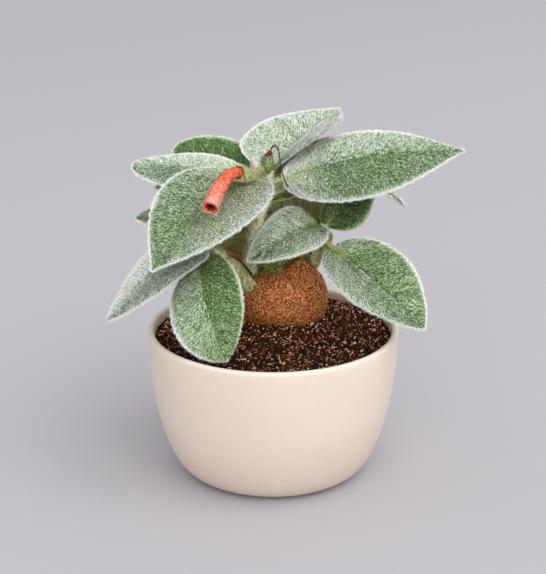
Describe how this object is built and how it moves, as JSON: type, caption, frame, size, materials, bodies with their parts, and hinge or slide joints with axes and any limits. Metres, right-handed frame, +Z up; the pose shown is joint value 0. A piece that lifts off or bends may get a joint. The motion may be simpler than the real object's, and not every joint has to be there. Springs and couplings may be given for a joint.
{
  "type": "potted sinningia",
  "caption": "Woolly-leaved tuberous plant with a curved tube flower, growing from a bark-covered tuber in a round, matte ceramic pot of soil.",
  "frame": {"origin": "centre of the pot's flat base", "axes": "+Z up, along the pot's axis; -Y is the front that the picture shows; +X to the right"},
  "size_m": [0.1984, 0.1458, 0.2033],
  "materials": {
    "pot": "unglazed, fine matte",
    "soil": null,
    "tuber": "rough granular corky bark",
    "stem": "soft, hairy",
    "leaf": "silvery velvet, densely hairy",
    "flower": "short velvet hairs",
    "calyx": "woolly",
    "capsule": "fine hairs",
    "style": "dry",
    "bud": "woolly",
    "shoot": "fine hairs",
    "stalk": "dry"
  },
  "bodies": {
    "root": {"pot": "pot", "soil": "soil", "tuber": "tuber", "stem_main": "stem", "stem_left": "stem", "stem_right": "stem", "leaf_top_right": "leaf", "leaf_top_front": "leaf", "leaf_top_left": "leaf", "leaf_top_back_left": "leaf", "leaf_top_back": "leaf", "leaf_top_back_right": "leaf", "leaf_right_front": "leaf", "leaf_right_low": "leaf", "leaf_right_back": "leaf", "leaf_right_far": "leaf", "leaf_left_low": "leaf", "leaf_left_out": "leaf", "leaf_left_back": "leaf", "leaf_left_up": "leaf", "leaf_left_under": "leaf", "leaf_mid_left": "leaf", "leaf_mid_right": "leaf", "leaf_right_behind": "leaf", "flower_tube": "flower", "flower_calyx": "calyx", "seed_capsule": "capsule", "withered_style": "style", "young_bud": "bud", "shoot_left": "shoot", "shoot_mid": "shoot", "shoot_back": "shoot", "shoot_right": "shoot", "withered_stalk": "stalk"}
  },
  "joints": []
}
